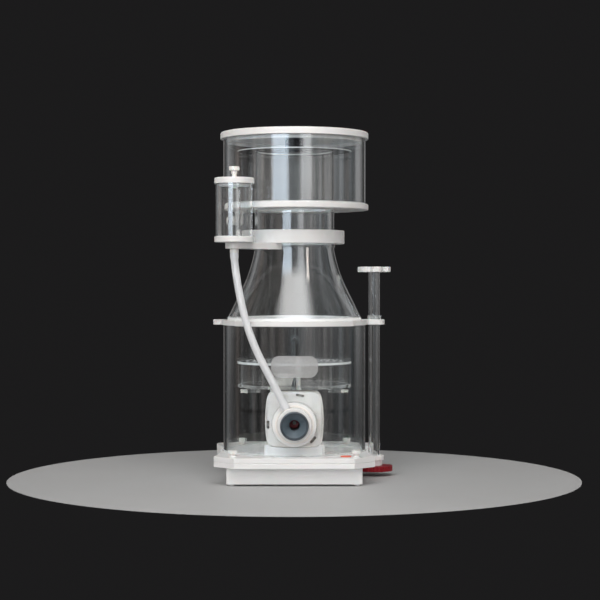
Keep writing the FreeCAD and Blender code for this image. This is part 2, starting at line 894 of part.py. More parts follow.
def diffuser_bolt():
    """The long nylon bolt that ties the diffuser down to the pump."""
    head_radius = 6.3
    head_height = 6.0
    corners = [Vector(rod_x + head_radius * math.cos(angle), rod_y + head_radius * math.sin(angle),
                      diffuser_plate_top) for angle in around(6)]
    head = Part.Face(Part.makePolygon(corners + corners[:1])).extrude(Vector(0, 0, head_height))
    return head.fuse(cylinder(rod_radius, pump_crown, rod_top, rod_x, rod_y))


# ---- cable ----------------------------------------------------------------------------

def pump_cable():
    """The pump's cable: up inside the body, out at the back and down to its connector."""
    riser_y = body_bore - 11.0
    low_bend = 26.0
    high_bend = 10.0
    drop_bend = 8.0

    def at(y, z):
        return Vector(0, y, z)

    def bend(start, end, centre):
        outward = (start + end) * 0.5 - centre
        middle = centre + outward.normalize() * (start - centre).Length
        return arc(start, middle, end)
    low_start = at(riser_y - low_bend, pump_z)
    low_end = at(riser_y, pump_z + low_bend)
    high_start = at(riser_y, gland_z - high_bend)
    high_end = at(riser_y + high_bend, gland_z)
    drop_start = at(cable_tail_y - drop_bend, gland_z)
    drop_end = at(cable_tail_y, gland_z - drop_bend)
    route = Part.Wire([
        line(at(motor_back, pump_z), low_start),
        bend(low_start, low_end, at(riser_y - low_bend, pump_z + low_bend)),
        line(low_end, high_start),
        bend(high_start, high_end, at(riser_y + high_bend, gland_z - high_bend)),
        line(high_end, drop_start),
        bend(drop_start, drop_end, at(cable_tail_y - drop_bend, gland_z - drop_bend)),
        line(drop_end, at(cable_tail_y, cable_tail_bottom)),
    ])
    section = Part.Wire([Part.Circle(at(motor_back, pump_z), BACK, cable_radius).toShape()])
    return route.makePipeShell([section], True, True)


def cable_gland():
    """The gland that seals the cable in the tube's rear wall."""
    outside = bar(gland_radius, body_bore, body_radius + 4.0, 0, gland_z)
    return outside.cut([cylinder(body_radius, plate_top, flange_bottom),
                        bar(cable_radius, 0, body_radius + 6.0, 0, gland_z)])


def cable_connector():
    """The waterproof connector at the end of the cable's tail."""
    plug = puck(connector_radius, connector_bottom, cable_tail_bottom, 2.0, 0, cable_tail_y)
    groove_bottom = (connector_bottom + cable_tail_bottom) / 2
    return plug.cut(ring(connector_radius + 1.0, connector_radius - 1.0, groove_bottom,
                         groove_bottom + 2.0, 0, cable_tail_y))


# ---- silencer -------------------------------------------------------------------------

def silencer_arm():
    """The white arm under the collar that carries the silencer."""
    top = collar_bottom
    bottom = top - arm_thickness
    reach = math.hypot(silencer_x, silencer_y)
    out = Vector(silencer_x / reach, silencer_y / reach, 0)
    side = Vector(-out.y, out.x, 0)
    root = cone_lip_radius * 0.85
    level = Vector(0, 0, bottom)
    corners = [out * root + side * arm_half_width + level,
               out * reach + side * arm_tip_radius + level,
               out * reach - side * arm_tip_radius + level,
               out * root - side * arm_half_width + level]
    arm = Part.Face(Part.makePolygon(corners + corners[:1])).extrude(Vector(0, 0, arm_thickness))
    arm = arm.fuse(cylinder(arm_tip_radius, bottom, top, silencer_x, silencer_y)).removeSplitter()
    arm = arm.cut(cylinder(cone_lip_radius + 0.5, bottom - SLACK, top + SLACK))
    passage = cylinder(hose_bore, bottom - SLACK, top + SLACK, silencer_x, silencer_y)
    return arm.cut(passage)


def silencer_base():
    """The silencer's white base disc."""
    base = puck(silencer_base_radius, collar_bottom, silencer_base_top, 1.0, silencer_x, silencer_y)
    return base.cut(cylinder(hose_bore, collar_bottom - SLACK, silencer_base_top + SLACK,
                             silencer_x, silencer_y))


def silencer_tube():
    """The clear outer tube of the silencer."""
    return ring(silencer_tube_radius, silencer_tube_bore, silencer_base_top, silencer_tube_top,
                silencer_x, silencer_y)


def silencer_core():
    """The clear inner tube that takes the air down to the hose."""
    return ring(silencer_core_radius, silencer_core_bore, silencer_base_top, silencer_core_top,
                silencer_x, silencer_y)


def hose_fitting():
    """The fitting under the arm that the hose is pushed onto."""
    bottom = fitting_bottom - hose_plug_length
    nut = cylinder(fitting_radius, fitting_bottom, collar_bottom - arm_thickness, silencer_x, silencer_y)
    ridge = 4.0
    spigot = Part.makeCone(spigot_tip, spigot_ridge, ridge, Vector(silencer_x, silencer_y, bottom))
    spigot = spigot.fuse(cylinder(spigot_shank, bottom + ridge, fitting_bottom, silencer_x, silencer_y))
    return nut.fuse(spigot).cut(
        cylinder(air_passage, bottom - SLACK, collar_bottom, silencer_x, silencer_y))


def silencer_cap():
    """The white cap on the silencer, with the hole for its air screw."""
    cap = cylinder(silencer_base_radius, silencer_tube_top, silencer_cap_top, silencer_x, silencer_y)
    cap = soften(cap, 2.5, flat_at(silencer_cap_top))
    spigot = cylinder(silencer_tube_bore - running_gap, silencer_tube_top - 4.0, silencer_tube_top,
                      silencer_x, silencer_y)
    hole = cylinder(air_screw_shank + running_gap, silencer_tube_top - 5.0, silencer_cap_top + SLACK,
                    silencer_x, silencer_y)
    inlets = [cylinder(1.5, silencer_tube_top - 5.0, silencer_cap_top + SLACK,
                       silencer_x + 14.0 * math.cos(angle), silencer_y + 14.0 * math.sin(angle))
              for angle in around(6)]
    return cap.fuse(spigot).cut([hole] + inlets)


def air_screw():
    """The thumb screw that throttles the air."""
    head = puck(air_screw_head_radius, air_screw_head_bottom, air_screw_head_top, 1.2,
                silencer_x, silencer_y)
    head = fluted(head, air_screw_head_radius + 0.5, 18, 0.9, air_screw_head_bottom,
                  air_screw_head_top, silencer_x, silencer_y)
    neck = cylinder(air_screw_collar_radius, air_screw_collar_bottom, air_screw_head_bottom,
                    silencer_x, silencer_y)
    shank = cylinder(air_screw_shank, air_screw_tip, air_screw_collar_bottom, silencer_x, silencer_y)
    return head.fuse([neck, shank])


# ---- collection cup -------------------------------------------------------------------

def cup_neck():
    """The clear neck that foam rises through."""
    return ring(neck_radius, neck_bore, neck_bottom, neck_top)


def neck_lip():
    """The clear ring on the neck that foam spills over."""
    lip = ring(neck_lip_radius, neck_bore, neck_top, neck_top + neck_lip_thickness)
    return soften(lip, 0.8, outer_rim(neck_lip_radius, neck_top + neck_lip_thickness))


def cup_floor():
    """The cup's white floor, with the drain hole behind."""
    floor = puck(cup_floor_radius, cup_floor_bottom, cup_floor_top, 1.5)
    floor = floor.cut(cylinder(neck_radius, cup_floor_bottom - SLACK, cup_floor_top + SLACK))
    return floor.cut(cylinder(drain_bore, cup_floor_bottom - SLACK, cup_floor_top + SLACK,
                              drain_x, drain_y))


def cup_wall():
    """The cup's clear wall."""
    return ring(body_radius, body_bore, cup_floor_top, cup_wall_top)


def drain_spigot():
    """The drain under the cup's floor: an elbow that points away from the neck, for a hose."""
    middle = cup_floor_bottom - drain_drop
    away = Vector(drain_x, drain_y, 0).normalize()
    corner = Vector(drain_x, drain_y, middle)

    def elbow(radius, rise, reach):
        upright_leg = cylinder(radius, middle, middle + rise, drain_x, drain_y)
        level_leg = Part.makeCylinder(radius, reach, corner, away)
        return upright_leg.fuse([level_leg, Part.makeSphere(radius, corner)])
    flange = puck(drain_radius + 5.0, cup_floor_bottom - 3.0, cup_floor_bottom, 0.5, drain_x, drain_y)
    spigot = Part.makeCylinder(drain_radius, drain_reach - drain_elbow_reach,
                               corner + away * drain_elbow_reach, away)
    outside = elbow(drain_elbow_radius, drain_drop, drain_elbow_reach).fuse([flange, spigot])
    return outside.cut(elbow(drain_bore, drain_drop + SLACK, drain_reach + SLACK))


def cup_lid():
    """The white lid, with a spigot ring that centres it in the wall."""
    lid = cylinder(lid_radius, cup_wall_top, lid_top)
    lid = soften(lid, 3.0, flat_at(lid_top))
    lid = soften(lid, 1.0, outer_rim(lid_radius, cup_wall_top))
    spigot_outer = body_bore - running_gap
    spigot = ring(spigot_outer, spigot_outer - lid_spigot_wall, cup_wall_top - lid_spigot_depth,
                  cup_wall_top)
    return lid.fuse(spigot)


def vent_filter():
    """The dark block of filter foam under the lid's vent."""
    half = filter_width / 2
    foam = block(-half, half, filter_front, filter_front + filter_depth,
                 cup_wall_top - filter_height, cup_wall_top)
    return soften(foam, 2.0, upright)


# ---- level control --------------------------------------------------------------------

def control_knob():
    """The lobed knob on top of the control tube."""
    knob = cylinder(knob_radius, knob_bottom, knob_top, control_x, control_y)
    knob = fluted(knob, knob_radius + 4.0, knob_lobes, 9.0, knob_bottom, knob_top,
                  control_x, control_y, -53.0)
    knob = soften(knob, 3.0, upright_rim)
    return soften(knob, 1.2, flat_at_either(knob_bottom, knob_top))


def upright_rim(edge):
    """Picks the knob's upright edges between its lobes and its scallops."""
    middle = edge.CenterOfMass
    away = math.hypot(middle.x - control_x, middle.y - control_y)
    return upright(edge) and away > knob_radius - 2.0


def control_tube():
    """The clear tube from the knob down to the foot."""
    return ring(control_radius, control_bore, control_foot_top, knob_bottom, control_x, control_y)


def control_foot():
    """The white foot of the control tube, with the pin that turns in the bearing."""
    foot = puck(control_foot_radius, control_foot_bottom, control_foot_top, 1.2, control_x, control_y)
    pin = cylinder(control_pin_radius, control_pin_bottom, control_foot_bottom, control_x, control_y)
    return foot.fuse(pin)


def regulating_disc():
    """The red disc that covers the outlet slot. Its cut-back stretch opens the slot."""
    disc = cylinder(disc_radius, disc_bottom, disc_top, control_x, control_y)
    disc = fluted(disc, disc_radius + 0.8, disc_flutes, 2.0, disc_bottom, disc_top,
                  control_x, control_y)
    angle = math.radians(disc_opening_angle)
    bite_radius = disc_radius
    bite_away = disc_radius + bite_radius - 9.0
    bite = cylinder(bite_radius, disc_bottom - SLACK, disc_top + SLACK,
                    control_x + bite_away * math.cos(angle), control_y + bite_away * math.sin(angle))
    bore = cylinder(control_pin_radius, disc_bottom - SLACK, disc_top + SLACK, control_x, control_y)
    return disc.cut([bite, bore])


def control_guide():
    """The clear bush on the flange's right tab that guides the control tube."""
    return ring(guide_radius, control_radius + 0.1, flange_top, flange_top + guide_height,
                control_x, control_y)


# ---- the assembly ---------------------------------------------------------------------

PIECES = [
    base_feet, outlet_box, lower_base_plate, control_bearing,
    body_flange, flange_seal, flange_plug, body_tube, body_top_flange, cone,
    locking_collar, collar_o_ring, frosted_label,
    pump_shoe, pump_cover, pump_housing, pump_seal, pump_motor, motor_screws, shaft_bushes,
    outlet_socket, saddle_ring, saddle_gasket, venturi_collar, intake_nozzle, air_hose,
    needle_wheel, magnet_rotor, rotor_shaft,
    diffuser_floor, diffuser_drum, diffuser_plate, diffuser_lugs, diffuser_bolt,
    pump_cable, cable_gland, cable_connector,
    silencer_arm, silencer_base, silencer_tube, silencer_core, hose_fitting, silencer_cap, air_screw,
    cup_neck, neck_lip, cup_floor, cup_wall, drain_spigot, cup_lid, vent_filter,
    control_knob, control_tube, control_foot, regulating_disc, control_guide,
    thumb_screw_front_left, thumb_screw_front_right, thumb_screw_rear_left, thumb_screw_rear_right,
]

os.makedirs("parts", exist_ok=True)
for piece in PIECES:
    piece().exportStep(f"parts/{piece.__name__}.step")
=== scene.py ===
import bpy
import bmesh
import json
import math
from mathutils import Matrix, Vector, noise


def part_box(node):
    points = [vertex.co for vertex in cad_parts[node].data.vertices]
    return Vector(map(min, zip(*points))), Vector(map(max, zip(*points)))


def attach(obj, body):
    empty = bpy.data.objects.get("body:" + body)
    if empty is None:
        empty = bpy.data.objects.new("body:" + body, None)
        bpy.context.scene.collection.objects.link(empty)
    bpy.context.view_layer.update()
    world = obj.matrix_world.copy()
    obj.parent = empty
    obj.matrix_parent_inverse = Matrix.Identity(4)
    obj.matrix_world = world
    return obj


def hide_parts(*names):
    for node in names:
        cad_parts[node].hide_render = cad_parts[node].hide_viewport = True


# The protein skimmer's looks: materials for every CAD piece, the soft and detailed pieces that
# are built here, and the studio. Everything is in metres, in the CAD frame.

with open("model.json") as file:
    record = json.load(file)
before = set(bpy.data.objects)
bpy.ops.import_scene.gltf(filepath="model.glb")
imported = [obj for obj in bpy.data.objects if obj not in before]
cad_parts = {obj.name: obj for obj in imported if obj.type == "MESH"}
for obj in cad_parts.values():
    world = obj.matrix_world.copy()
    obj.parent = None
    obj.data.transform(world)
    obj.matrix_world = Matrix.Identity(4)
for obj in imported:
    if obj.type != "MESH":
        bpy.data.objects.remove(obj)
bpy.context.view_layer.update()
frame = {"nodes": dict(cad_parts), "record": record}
MM = 0.001
TURN = 2 * math.pi


# ---- node trees -----------------------------------------------------------------------

class Nodes:
    """A short way to write a node tree, for a material or for the world."""

    def __init__(self, owner, place="Object"):
        self.owner = owner
        owner.use_nodes = True
        self.tree = owner.node_tree
        self.tree.nodes.clear()
        self.place = self.add("ShaderNodeTexCoord").outputs[place]

    def add(self, kind, inputs=None, **settings):
        node = self.tree.nodes.new(kind)
        for name, value in settings.items():
            setattr(node, name, value)
        for name, value in (inputs or {}).items():
            self.feed(node.inputs[name], value)
        return node

    def feed(self, socket, value):
        if isinstance(value, bpy.types.NodeSocket):
            self.tree.links.new(value, socket)
        else:
            socket.default_value = value

    def math(self, operation, first, second=0.0):
        return self.add("ShaderNodeMath", {0: first, 1: second}, operation=operation).outputs[0]

    def parts(self, vector):
        """The three parts of a vector."""
        return self.add("ShaderNodeSeparateXYZ", {"Vector": vector}).outputs

    def joined(self, x=0.0, y=0.0, z=0.0):
        return self.add("ShaderNodeCombineXYZ", {0: x, 1: y, 2: z}).outputs[0]

    def noise(self, scale, detail=2.0, place=None):
        """A smooth random value round 0.5. Scale is in features per metre."""
        node = self.add("ShaderNodeTexNoise", {
            "Vector": place or self.place, "Scale": scale, "Detail": detail})
        return node.outputs["Fac"]

    def ramp(self, value, start, end, low=0.0, high=1.0):
        """Low up to a start, high past an end, and a smooth rise between."""
        node = self.add("ShaderNodeMapRange", {
            "Value": value, "From Min": start, "From Max": end, "To Min": low, "To Max": high},
            interpolation_type="SMOOTHSTEP")
        return node.outputs[0]

    def spread(self, value, low, high):
        """A noise value spread over a range."""
        node = self.add("ShaderNodeMapRange", {
            "Value": value, "From Min": 0.3, "From Max": 0.7, "To Min": low, "To Max": high})
        return node.outputs[0]

    def blend(self, share, first, second):
        """A colour between two colours."""
        node = self.add("ShaderNodeMix", data_type="RGBA")
        self.feed(node.inputs[0], share)
        self.feed(node.inputs[6], first)         # inputs 6 and 7 are the node's two colours
        self.feed(node.inputs[7], second)
        return node.outputs[2]

    def between(self, share, first, second):
        """A number between two numbers."""
        node = self.add("ShaderNodeMix")
        self.feed(node.inputs[0], share)
        self.feed(node.inputs[2], first)         # inputs 2 and 3 are the node's two numbers
        self.feed(node.inputs[3], second)
        return node.outputs[0]

    def bump(self, height, depth, below=None):
        """A bump whose full height is a depth in metres."""
        inputs = {"Height": height, "Distance": depth, "Strength": 1.0}
        if below is not None:
            inputs["Normal"] = below
        return self.add("ShaderNodeBump", inputs).outputs[0]

    def steepness(self):
        """1 on upright faces and 0 on level ones."""
        facing = self.parts(self.add("ShaderNodeNewGeometry").outputs["True Normal"])[2]
        return self.ramp(self.math("ABSOLUTE", facing), 0.85, 0.6)

    def openness(self, distance):
        """1 on open faces, and less in corners narrower than a distance."""
        node = self.add("ShaderNodeAmbientOcclusion", {"Distance": distance}, samples=4)
        return node.outputs["AO"]

    def upright_streaks(self, scale, detail, stretch):
        """Noise over the level place, drawn out upwards: a small stretch makes long streaks."""
        x, y, z = self.parts(self.place)
        return self.noise(scale, detail, self.joined(x, y, self.math("MULTIPLY", z, stretch)))

    def principled(self, **inputs):
        names = {name.replace("_", " "): value for name, value in inputs.items()}
        return self.add("ShaderNodeBsdfPrincipled", names).outputs[0]

    def finish(self, shader):
        output = self.add("ShaderNodeOutputMaterial")
        self.tree.links.new(shader, output.inputs["Surface"])
        return self.owner


def material(name):
    return Nodes(bpy.data.materials.new(name))


def grey(level):
    return (level, level, level, 1.0)


# ---- materials ------------------------------------------------------------------------

def white_pvc():
    """Milled white PVC sheet: satin faces, cutter marks across the sheet's edges, and painted shade
    that darkens its corners and narrow grooves.
    """
    n = material("white_pvc")
    steep = n.steepness()
    clouds = n.spread(n.noise(16.0, 4.0), 0.0, 1.0)
    unshaded_colour = n.blend(clouds, (0.735, 0.73, 0.72, 1), (0.785, 0.78, 0.775, 1))
    # painted shade: corners and grooves closed in within 5 mm are blended towards a darker grey
    painted_crevice_shade = n.ramp(n.openness(5 * MM), 0.75, 0.35, 0.0, 0.35)
    colour = n.blend(painted_crevice_shade, unshaded_colour, (0.48, 0.47, 0.45, 1))
    marks = n.upright_streaks(1100.0, 2.0, 0.04)
    level_bands = n.joined(0.0, 0.0, n.math("MULTIPLY", n.parts(n.place)[2], 420.0))
    passes = n.noise(1.0, 1.0, level_bands)
    grain = n.noise(350.0, 2.0)
    height = n.math("MULTIPLY", steep, n.math("ADD", marks, passes))
    normal = n.bump(height, 0.03 * MM, n.bump(grain, 0.008 * MM))
    rough = n.between(steep, n.spread(n.noise(70.0, 4.0), 0.26, 0.38), 0.44)
    return n.finish(n.principled(
        Base_Color=colour, Roughness=rough, Normal=normal, Specular_IOR_Level=0.22,
        Subsurface_Weight=0.05, Subsurface_Scale=3 * MM))


def glass(n, colour, rough, normal, clarity=1.0):
    """Clear plastic that bends light but casts only a faint shadow."""
    clear = n.principled(Base_Color=colour, Roughness=rough, Normal=normal, IOR=1.49,
                         Transmission_Weight=clarity)
    see = n.add("ShaderNodeBsdfTransparent", {"Color": (0.965, 0.975, 0.97, 1)}).outputs[0]
    shadow = n.add("ShaderNodeLightPath").outputs["Is Shadow Ray"]
    return n.finish(n.add("ShaderNodeMixShader", {0: shadow, 1: clear, 2: see}).outputs[0])


def acrylic_tube(name, centre=(0.0, 0.0), depth=1.0):
    """Extruded acrylic tube: upright draw lines round its axis, and frosted saw-cut ends. A thin
    tube has shallower lines, as a share of those of the body tube."""
    n = material(name)
    x, y, z = n.parts(n.place)
    angle = n.math("ARCTAN2", n.math("SUBTRACT", y, centre[1]), n.math("SUBTRACT", x, centre[0]))
    slow = n.math("MULTIPLY", z, 0.12)
    fine = n.noise(42.0, 4.0, n.joined(angle, slow))
    broad = n.noise(8.0, 1.0, n.joined(angle, slow))
    cut = n.math("SUBTRACT", 1.0, n.steepness())
    normal = n.bump(fine, 0.045 * MM * depth, n.bump(broad, 0.08 * MM * depth))
    smudge = n.spread(n.noise(38.0, 4.0), 0.0, 0.045)
    return glass(n, n.blend(cut, (0.99, 0.992, 0.987, 1), (0.93, 0.94, 0.94, 1)),
                 n.between(cut, smudge, 0.45), normal, n.between(cut, 1.0, 0.35))


def acrylic_cone():
    """The thermoformed cone: smooth flowing walls, and a sawn rim round its foot."""
    n = material("cone_acrylic")
    x, y, z = n.parts(n.place)
    rim_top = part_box("cone")[0].z + 3.8 * MM
    rim = n.ramp(z, rim_top + 0.4 * MM, rim_top - 0.4 * MM)
    angle = n.math("ARCTAN2", y, x)
    flow = n.noise(9.0, 2.0, n.joined(angle, n.math("MULTIPLY", z, 3.0)))
    saw = n.upright_streaks(900.0, 2.0, 0.1)
    normal = n.bump(n.math("MULTIPLY", saw, rim), 0.05 * MM, n.bump(flow, 0.12 * MM))
    smudge = n.spread(n.noise(38.0, 4.0), 0.0, 0.05)
    return glass(n, n.blend(rim, (0.99, 0.992, 0.987, 1), (0.95, 0.95, 0.94, 1)),
                 n.between(rim, smudge, 0.5), normal, n.between(rim, 1.0, 0.3))


def acrylic_sheet(name, edge_haze, edge_rough):
    """Cut acrylic sheet: polished faces and hazy edges with saw marks."""
    n = material(name)
    edge = n.steepness()
    saw = n.upright_streaks(900.0, 2.0, 0.1)
    normal = n.bump(n.math("MULTIPLY", saw, edge), 0.05 * MM)
    smudge = n.spread(n.noise(45.0, 4.0), 0.0, 0.05)
    return glass(n, n.blend(edge, (0.985, 0.99, 0.982, 1), (0.90, 0.91, 0.90, 1)),
                 n.between(edge, smudge, edge_rough), normal, n.between(edge, 1.0, 1.0 - edge_haze))


def moulded(name, dark, light, rough, grain_depth, soft=0.0, painted_crevice_shade=None, gloss=0.5):
    """Moulded plastic with a fine spark-eroded grain, uneven gloss and, if asked, painted shade that
    darkens its slots, seams and other narrow hollows. Its colour drifts between a dark and a light
    tone. The depth of the grain is in millimetres."""
    n = material(name)
    colour = n.blend(n.spread(n.noise(24.0, 4.0), 0.0, 1.0), (*dark, 1), (*light, 1))
    if painted_crevice_shade:
        # painted shade: narrow hollows such as slots and seams are blended towards the given dark
        # colour
        colour = n.blend(n.ramp(n.openness(6 * MM), 0.62, 0.30), colour, (*painted_crevice_shade, 1))
    normal = n.bump(n.noise(2400.0, 2.0), grain_depth * MM, n.bump(n.noise(90.0, 1.0), 0.03 * MM))
    roughness = n.spread(n.noise(85.0, 3.0), rough - 0.06, rough + 0.06)
    return n.finish(n.principled(
        Base_Color=colour, Roughness=roughness, Normal=normal, Specular_IOR_Level=gloss,
        Subsurface_Weight=soft, Subsurface_Scale=3 * MM))


def nozzle_grey():
    """The intake's slate plastic: a dark rim and a paler, scuffed funnel."""
    n = material("slate_grey")
    low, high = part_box("intake_nozzle")
    middle = (low + high) / 2
    mouth_radius = 20.1 * MM
    x, _, z = n.parts(n.place)
    across = n.math("POWER", n.math("SUBTRACT", x, middle.x), 2.0)
    upward = n.math("POWER", n.math("SUBTRACT", z, middle.z), 2.0)
    reach = n.math("SQRT", n.math("ADD", across, upward))
    mouth = n.ramp(reach, mouth_radius + 0.3 * MM, mouth_radius - 0.3 * MM)
    clouds = n.spread(n.noise(60.0, 4.0), 0.0, 1.0)
    rim = n.blend(clouds, (0.018, 0.026, 0.034, 1), (0.030, 0.040, 0.050, 1))
    funnel = n.blend(clouds, (0.085, 0.115, 0.135, 1), (0.12, 0.15, 0.175, 1))
    groove_pitch = 1.208 * MM
    rings = n.math("SINE", n.math("MULTIPLY", reach, TURN / groove_pitch))
    turned = n.math("MULTIPLY", mouth, rings)
    normal = n.bump(turned, 0.008 * MM, n.bump(n.noise(2200.0, 2.0), 0.02 * MM))
    return n.finish(n.principled(
        Base_Color=n.blend(mouth, rim, funnel), Roughness=n.spread(clouds, 0.34, 0.46),
        Normal=normal))


def silicone():
    """Milky silicone hose: soft, faintly see-through and dusty."""
    n = material("silicone_hose")
    haze = n.spread(n.noise(35.0, 4.0), 0.0, 1.0)
    colour = n.blend(haze, (0.75, 0.775, 0.81, 1), (0.80, 0.82, 0.85, 1))
    normal = n.bump(n.noise(500.0, 3.0), 0.015 * MM)
    return n.finish(n.principled(
        Base_Color=colour, Roughness=n.spread(n.noise(120.0, 3.0), 0.28, 0.45), Normal=normal,
        Subsurface_Weight=0.85, Subsurface_Scale=7 * MM, Subsurface_Radius=(1.0, 1.0, 1.0),
        Sheen_Weight=0.3))


def frosted_film():
    """The label's frosted film: a translucent, slightly mottled white."""
    n = material("frosted_film")
    mottle = n.spread(n.noise(300.0, 4.0), 0.0, 1.0)
    colour = n.blend(mottle, (0.45, 0.45, 0.445, 1), (0.50, 0.495, 0.49, 1))
    return n.finish(n.principled(
        Base_Color=colour, Roughness=0.55, Alpha=0.46,
        Normal=n.bump(n.noise(1800.0, 2.0), 0.02 * MM)))


def foam():
    """Open-cell foam: dark and dull, paler on the raised strands and darker in the cell hollows
    between them.
    """
    n = material("foam_dark")
    cells = n.add("ShaderNodeTexVoronoi", {"Vector": n.place, "Scale": 620.0},
                  feature="DISTANCE_TO_EDGE").outputs["Distance"]
    strand = n.ramp(cells, 0.16, 0.04)
    colour = n.blend(strand, (0.006, 0.006, 0.008, 1), (0.055, 0.06, 0.07, 1))
    return n.finish(n.principled(
        Base_Color=colour, Roughness=0.95, Normal=n.bump(strand, 0.5 * MM), Specular_IOR_Level=0.2))


def axis_of(node):
    """Where the upright axis of a round node stands."""
    low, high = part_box(node)
    return ((low.x + high.x) / 2, (low.y + high.y) / 2)


SILENCER = axis_of("silencer_tube")
CONTROL = axis_of("control_tube")

FINISHES = {
    "white_pvc": white_pvc(),
    "clear_acrylic": acrylic_tube("clear_acrylic"),
    # The brown given to the pump cream is painted shade for the pump's slots and seams.
    "pump_cream": moulded("pump_cream", (0.78, 0.74, 0.695), (0.84, 0.80, 0.76), 0.40, 0.02,
                          soft=0.05, painted_crevice_shade=(0.10, 0.07, 0.05)),
    "slate_grey": nozzle_grey(),
    "red_pvc": moulded("red_pvc", (0.20, 0.003, 0.008), (0.26, 0.006, 0.013), 0.38, 0.02, gloss=0.2),
    "dark_red_plastic": moulded("dark_red_plastic", (0.45, 0.008, 0.02), (0.52, 0.015, 0.03),
                                0.35, 0.02),
    "orange_silicone": moulded("orange_silicone", (0.70, 0.09, 0.03), (0.78, 0.13, 0.045),
                               0.35, 0.01),
    "silicone_hose": silicone(),
    "white_nylon": moulded("white_nylon", (0.73, 0.725, 0.70), (0.79, 0.785, 0.76), 0.34, 0.01,
                           soft=0.15),
    "seal_rubber": moulded("seal_rubber", (0.52, 0.52, 0.50), (0.60, 0.60, 0.58), 0.6, 0.02),
    "ceramic": moulded("ceramic", (0.70, 0.69, 0.66), (0.76, 0.75, 0.72), 0.2, 0.004),
    "magnet": moulded("magnet", (0.02, 0.02, 0.022), (0.03, 0.03, 0.032), 0.3, 0.01),
    "screw_steel": moulded("screw_steel", (0.55, 0.55, 0.56), (0.62, 0.62, 0.63), 0.3, 0.01),
    "foam_dark": foam(),
    "frosted_film": frosted_film(),
    "black_cable": moulded("black_cable", (0.015, 0.015, 0.015), (0.03, 0.03, 0.03), 0.5, 0.03),
}
POLISHED = acrylic_sheet("acrylic_polished", edge_haze=0.06, edge_rough=0.12)
SAWN = acrylic_sheet("acrylic_sawn", edge_haze=0.60, edge_rough=0.45)
CEMENT = acrylic_sheet("acrylic_cement", edge_haze=0.45, edge_rough=0.3)
LIP = acrylic_sheet("acrylic_lip", edge_haze=0.85, edge_rough=0.4)
CLEAR_EDGE = acrylic_sheet("acrylic_clear_edge", edge_haze=0.02, edge_rough=0.08)
SPECIAL = {
    "pump_shoe": moulded("shoe_cream", (0.82, 0.80, 0.78), (0.86, 0.845, 0.825), 0.40, 0.02,
                         soft=0.05),
    "cone": acrylic_cone(),
    "silencer_tube": acrylic_tube("silencer_acrylic", centre=SILENCER, depth=0.25),
    "silencer_core": acrylic_tube("core_acrylic", centre=SILENCER, depth=0.08),
    "control_tube": acrylic_tube("control_acrylic", centre=CONTROL, depth=0.08),
    "diffuser_plate": SAWN,
    "neck_lip": LIP,
    "diffuser_floor": POLISHED,
    "diffuser_lugs": CLEAR_EDGE,
    "control_guide": POLISHED,
}

for part in frame["record"]["subparts"]:
    name = part["node"]
    node = frame["nodes"][name]
    node.data.materials.clear()
    node.data.materials.append(SPECIAL.get(name) or FINISHES[part["material_slot"]])


# ---- pieces built here ----------------------------------------------------------------

def piece(name, shape, body, slot, finish=None):
    """Makes an object of a bmesh and lets it ride on a body."""
    mesh = bpy.data.meshes.new(name)
    bmesh.ops.recalc_face_normals(shape, faces=shape.faces)
    shape.to_mesh(mesh)
    shape.free()
    for face in mesh.polygons:
        face.use_smooth = True
    made = bpy.data.objects.new(name, mesh)
    mesh.materials.append(finish or FINISHES[slot])
    bpy.context.scene.collection.objects.link(made)
    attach(made, body)
    return made


def rounded(made, width, segments=3):
    """Rounds a piece's sharp edges."""
    bevel = made.modifiers.new("soft_edges", "BEVEL")
    bevel.width = width
    bevel.segments = segments
    bevel.limit_method = "ANGLE"
    bevel.angle_limit = math.radians(40)


def skin(rings):
    """A closed skin of quads through rings of points, the last ring joined to the first."""
    shape = bmesh.new()
    rows = [[shape.verts.new(point) for point in ring] for ring in rings]
    for row, other in zip(rows, rows[1:] + rows[:1]):
        for index in range(len(row)):
            after = (index + 1) % len(row)
            shape.faces.new((row[index], row[after], other[after], other[index]))
    return shape


def lathe(profile, centre, steps=128):
    """A closed profile of (radius, height) points turned about an upright axis."""
    rings = []
    for radius, height in profile:
        rings.append([Vector((centre[0] + radius * math.cos(TURN * step / steps),
                              centre[1] + radius * math.sin(TURN * step / steps), height))
                      for step in range(steps)])
    return skin(rings)


def slice_centre(node, height):
    """The middle of a tube where a level plane cuts it."""
    mesh = frame["nodes"][node].data
    places = []
    for edge in mesh.edges:
        start = mesh.vertices[edge.vertices[0]].co
        end = mesh.vertices[edge.vertices[1]].co
        if (start.z - height) * (end.z - height) < 0:
            places.append(start.lerp(end, (height - start.z) / (end.z - start.z)))
    low = Vector([min(place[axis] for place in places) for axis in range(3)])
    high = Vector([max(place[axis] for place in places) for axis in range(3)])
    return (low + high) / 2


def hose_line(radius):
    """The middle line of the CAD hose, from its level top down to its slanted foot. It follows
    level slices as far as they cut the whole hose, and then runs straight on to the end."""
    low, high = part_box("air_hose")
    cuts = 60
    just_below = 0.2 * MM
    last = low.z + 9.0 * MM          # the lowest level that still cuts the whole hose
    line = [slice_centre("air_hose", high.z - just_below)]
    for step in range(1, cuts + 1):
        line.append(slice_centre("air_hose", high.z + (last - high.z) * step / cuts))
    line[0].z = high.z
    way = (line[-1] - line[-4]).normalized()
    end_height = low.z + radius * math.hypot(way.x, way.y)
    left = (line[-1].z - end_height) / -way.z
    return line + [line[-1] + way * left * share for share in (0.34, 0.67, 1.0)]


def circle_round(place, ahead, radius, spokes=40):
    """A ring of points about a place, square to the way ahead."""
    way = ahead.normalized()
    side = way.cross(Vector((0, 1, 0))).normalized()
    up = side.cross(way)
    ring = []
    for spoke in range(spokes):
        angle = TURN * spoke / spokes
        ring.append(place + (side * math.cos(angle) + up * math.sin(angle)) * radius)
    return ring


